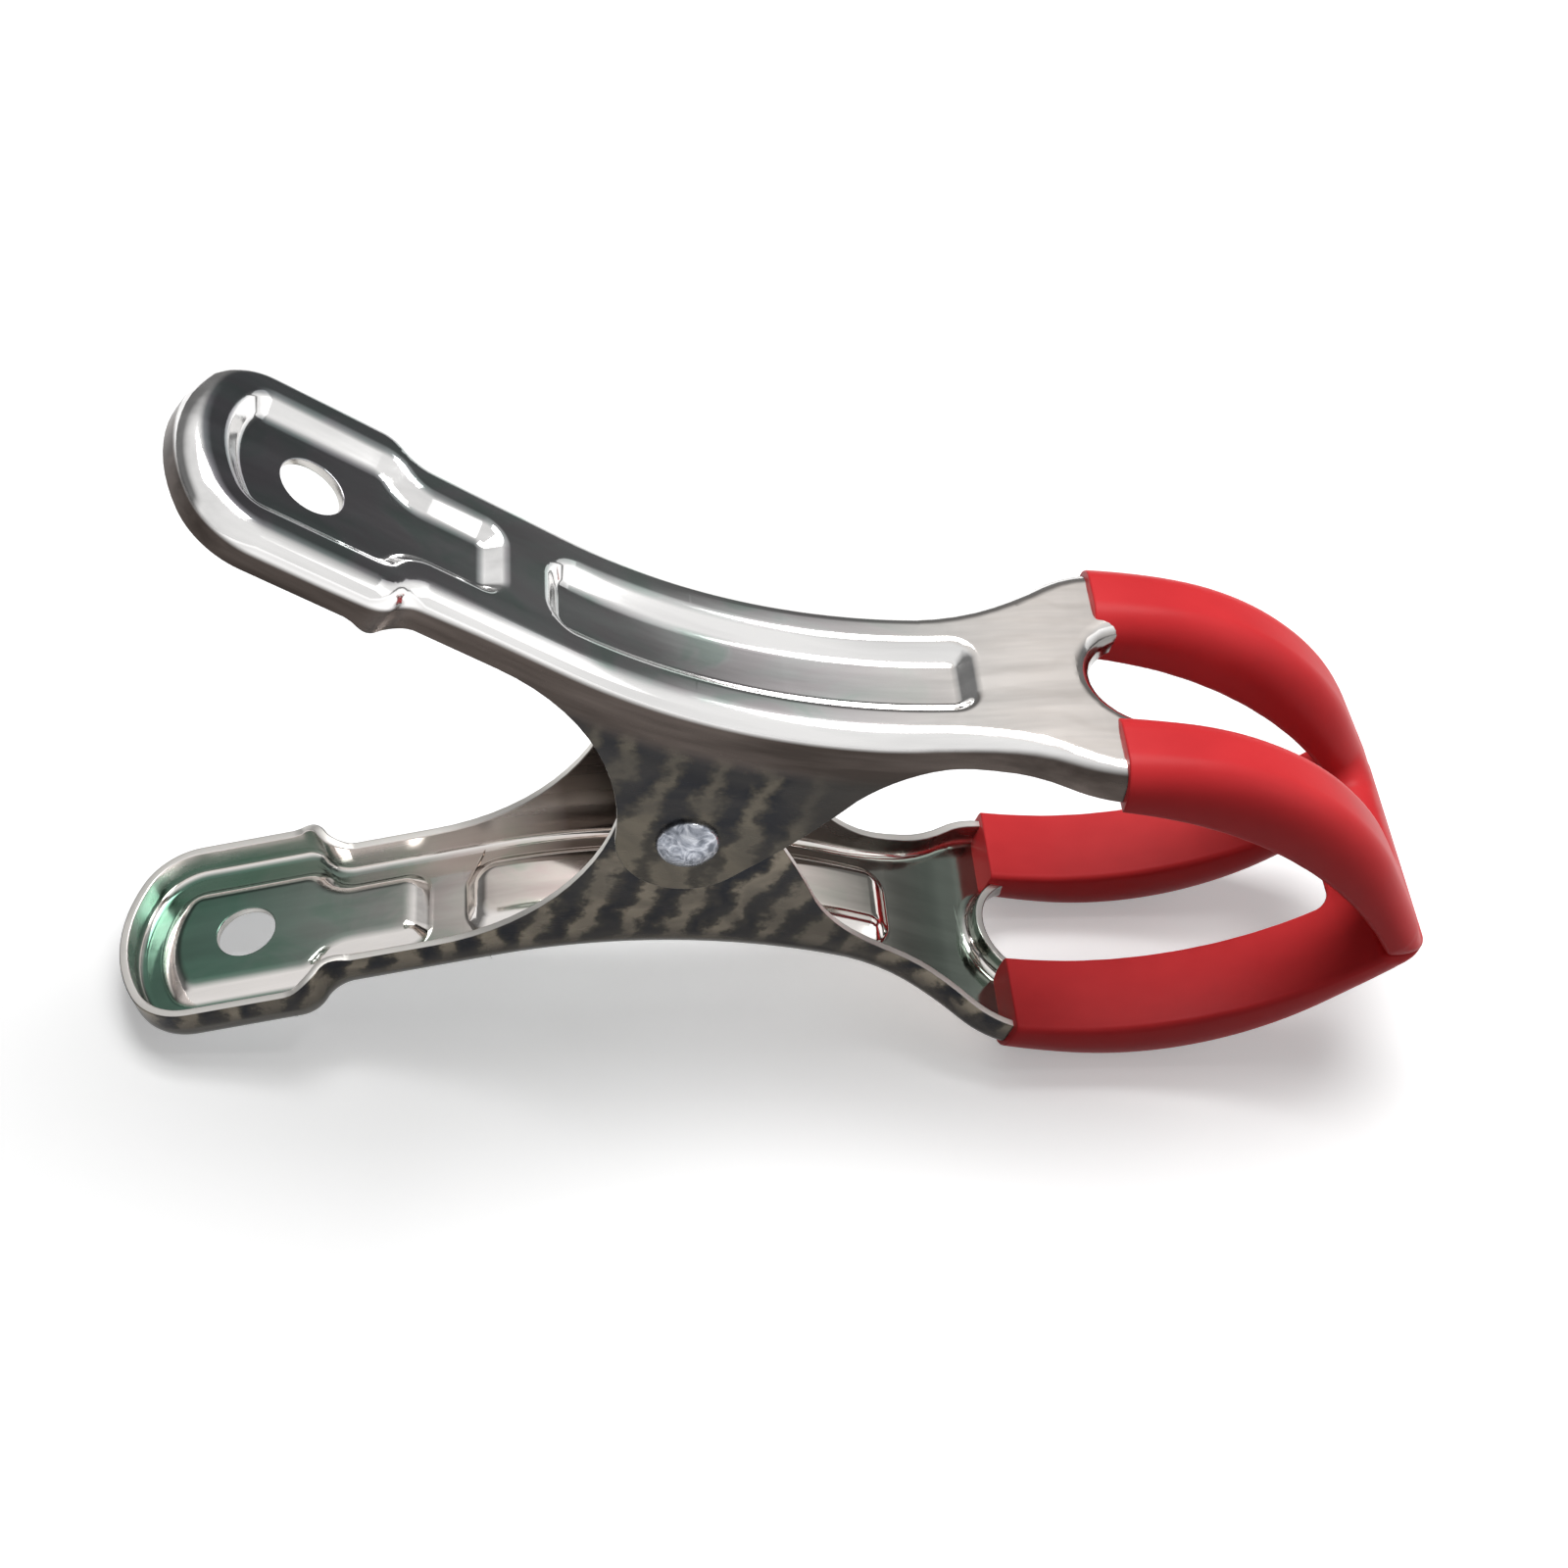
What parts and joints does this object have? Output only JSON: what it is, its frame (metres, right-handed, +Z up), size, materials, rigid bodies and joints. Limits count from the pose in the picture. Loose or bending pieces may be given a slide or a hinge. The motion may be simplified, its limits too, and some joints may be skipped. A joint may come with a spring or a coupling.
{
  "type": "spring clamp",
  "caption": "Spring clamp of pressed sheet with channel handles, nested ears on one rivet, a torsion spring and forked, curved jaws dipped in soft plastic.",
  "frame": {"origin": "middle of the clamp's footprint, on the surface that it lies on", "axes": "+X along the clamp towards the jaws, +Y along the rivet towards its peened tail, +Z up; the clamp lies on its inner arm"},
  "size_m": [0.1712, 0.039, 0.0963],
  "materials": {
    "bright_sheet": "bright plated",
    "dipped_plastic": "satin",
    "rivet_steel": "peened",
    "spring_wire": "drawn"
  },
  "bodies": {
    "lower_arm": {"inner_arm": "bright_sheet", "inner_jaw_coating": "dipped_plastic", "torsion_spring": "spring_wire"},
    "upper_arm": {"outer_arm": "bright_sheet", "outer_jaw_coating": "dipped_plastic", "rivet": "rivet_steel"}
  },
  "joints": [
    {"name": "jaw_pivot", "type": "hinge", "parent": "lower_arm", "child": "upper_arm", "pos_m": [-0.01201, 0, 0.03779], "axis": [0, -1, 0], "range_deg": [0, 60], "stiffness_Nm_per_rad": 2, "springref_deg": -68.75, "deforming": ["torsion_spring"]}
  ]
}
